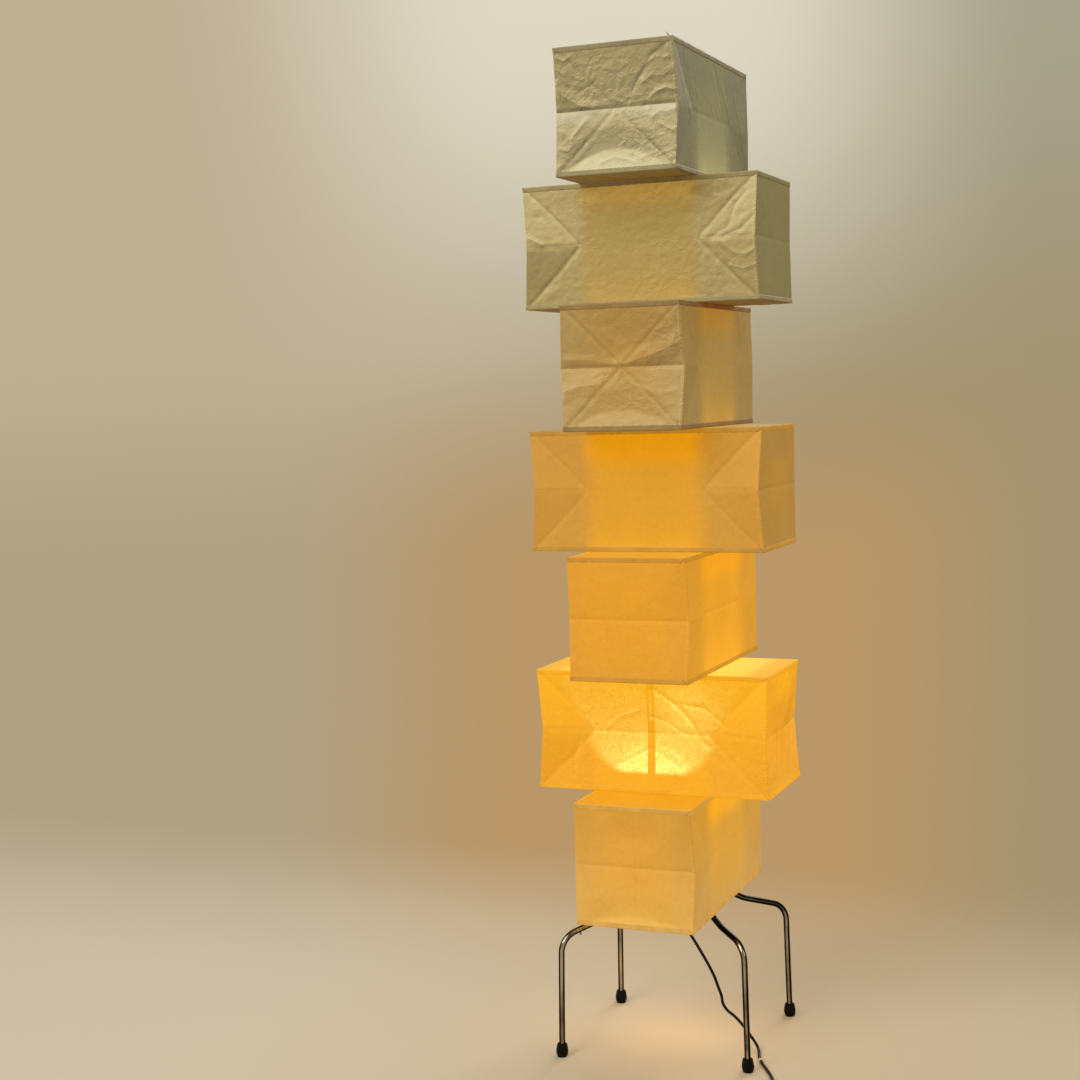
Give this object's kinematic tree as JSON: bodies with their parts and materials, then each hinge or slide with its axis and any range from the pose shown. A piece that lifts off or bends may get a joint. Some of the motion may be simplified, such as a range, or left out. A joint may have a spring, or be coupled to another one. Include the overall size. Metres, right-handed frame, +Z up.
{
  "type": "andon floor lamp",
  "caption": "Tall folding paper lantern lamp: crossed oblong paper boxes stacked over a low four-legged bent-tube stand with a corded lampholder.",
  "frame": {"origin": "on the floor, on the vertical axis of the shade", "axes": "+Z up; the lowest storey lies along Y, and the cord leaves towards +X and -Y"},
  "size_m": [0.517, 0.5918, 1.9239],
  "materials": {
    "paper": "handmade mulberry paper, matte, creased",
    "frame_wire": "thin steel wire, ivory lacquer",
    "thread": "waxed binding thread",
    "chrome_tube": "bright chrome, lightly tarnished",
    "tip_rubber": "matte black rubber",
    "hub_metal": "black enamel",
    "stretcher_steel": "plain steel",
    "screw_steel": "nickel-plated",
    "holder_moulding": "black phenolic moulding",
    "contact_brass": "plain brass",
    "bulb_metal": "plain",
    "bulb_glass": "clear glass",
    "cord_sheath": "black flexible cord",
    "switch_moulding": "black moulding",
    "plug_moulding": "black moulding"
  },
  "bodies": {
    "stand": {"hub": "hub_metal", "leg_front_left": "chrome_tube", "leg_front_right": "chrome_tube", "leg_rear_right": "chrome_tube", "leg_rear_left": "chrome_tube", "foot_tips": "tip_rubber", "leg_screws": "screw_steel", "stretcher_base_bar": "stretcher_steel", "bar_screws": "screw_steel", "stretcher_lower_rods": "stretcher_steel", "stretcher_upper_rods": "stretcher_steel", "splice_sleeves": "stretcher_steel", "top_bridge": "stretcher_steel", "top_cross_wires": "frame_wire", "nipple": "contact_brass", "nipple_nut": "contact_brass", "cord_gland": "cord_sheath", "holder_cap": "holder_moulding", "holder_body": "holder_moulding", "holder_contacts": "contact_brass", "bulb_cap": "bulb_metal", "bulb_glass": "bulb_glass", "frame_7_top": "frame_wire", "paper_storey_7": "paper", "cord": "cord_sheath", "cord_tail": "cord_sheath", "cord_coil": "cord_sheath", "cord_tie": "plug_moulding", "switch_base": "switch_moulding", "switch_cover": "switch_moulding", "switch_screws": "screw_steel", "plug_body": "plug_moulding", "plug_blades": "contact_brass"},
    "shade_foot": {"frame_1_bottom": "frame_wire", "bottom_cross_wires": "frame_wire"},
    "junction_1": {"frame_1_top": "frame_wire", "frame_2_bottom": "frame_wire", "ties_1": "thread", "paper_storey_1": "paper"},
    "junction_2": {"frame_2_top": "frame_wire", "frame_3_bottom": "frame_wire", "ties_2": "thread", "paper_storey_2": "paper"},
    "junction_3": {"frame_3_top": "frame_wire", "frame_4_bottom": "frame_wire", "ties_3": "thread", "paper_storey_3": "paper"},
    "junction_4": {"frame_4_top": "frame_wire", "frame_5_bottom": "frame_wire", "ties_4": "thread", "paper_storey_4": "paper"},
    "junction_5": {"frame_5_top": "frame_wire", "frame_6_bottom": "frame_wire", "ties_5": "thread", "paper_storey_5": "paper"},
    "junction_6": {"frame_6_top": "frame_wire", "frame_7_bottom": "frame_wire", "ties_6": "thread", "paper_storey_6": "paper"},
    "rocker": {"switch_rocker": "switch_moulding"}
  },
  "joints": [
    {"name": "shade_raise", "type": "slide", "parent": "stand", "child": "shade_foot", "axis": [0, 0, 1], "range_m": [0, 1.4], "deforming": ["paper_storey_1"]},
    {"name": "fold_1", "type": "slide", "parent": "stand", "child": "junction_1", "axis": [0, 0, 1], "range_m": [0, 1.2001], "deforming": ["paper_storey_2"]},
    {"name": "fold_2", "type": "slide", "parent": "stand", "child": "junction_2", "axis": [0, 0, 1], "range_m": [0, 1.0001], "deforming": ["paper_storey_3"]},
    {"name": "fold_3", "type": "slide", "parent": "stand", "child": "junction_3", "axis": [0, 0, 1], "range_m": [0, 0.8001], "deforming": ["paper_storey_4"]},
    {"name": "fold_4", "type": "slide", "parent": "stand", "child": "junction_4", "axis": [0, 0, 1], "range_m": [0, 0.6001], "deforming": ["paper_storey_5"]},
    {"name": "fold_5", "type": "slide", "parent": "stand", "child": "junction_5", "axis": [0, 0, 1], "range_m": [0, 0.4001], "deforming": ["paper_storey_6"]},
    {"name": "fold_6", "type": "slide", "parent": "stand", "child": "junction_6", "axis": [0, 0, 1], "range_m": [0, 0.2001], "deforming": ["paper_storey_7"]},
    {"name": "switch_rock", "type": "hinge", "parent": "stand", "child": "rocker", "pos_m": [0.26785, -0.26985, 0.012], "axis": [0.9848, 0.1736, 0], "range_deg": [0, 14]}
  ],
  "couplings": [
    {"joint": "fold_1", "follows": "shade_raise", "ratio": 0.85714},
    {"joint": "fold_2", "follows": "shade_raise", "ratio": 0.71429},
    {"joint": "fold_3", "follows": "shade_raise", "ratio": 0.57143},
    {"joint": "fold_4", "follows": "shade_raise", "ratio": 0.42857},
    {"joint": "fold_5", "follows": "shade_raise", "ratio": 0.28571},
    {"joint": "fold_6", "follows": "shade_raise", "ratio": 0.14286}
  ]
}
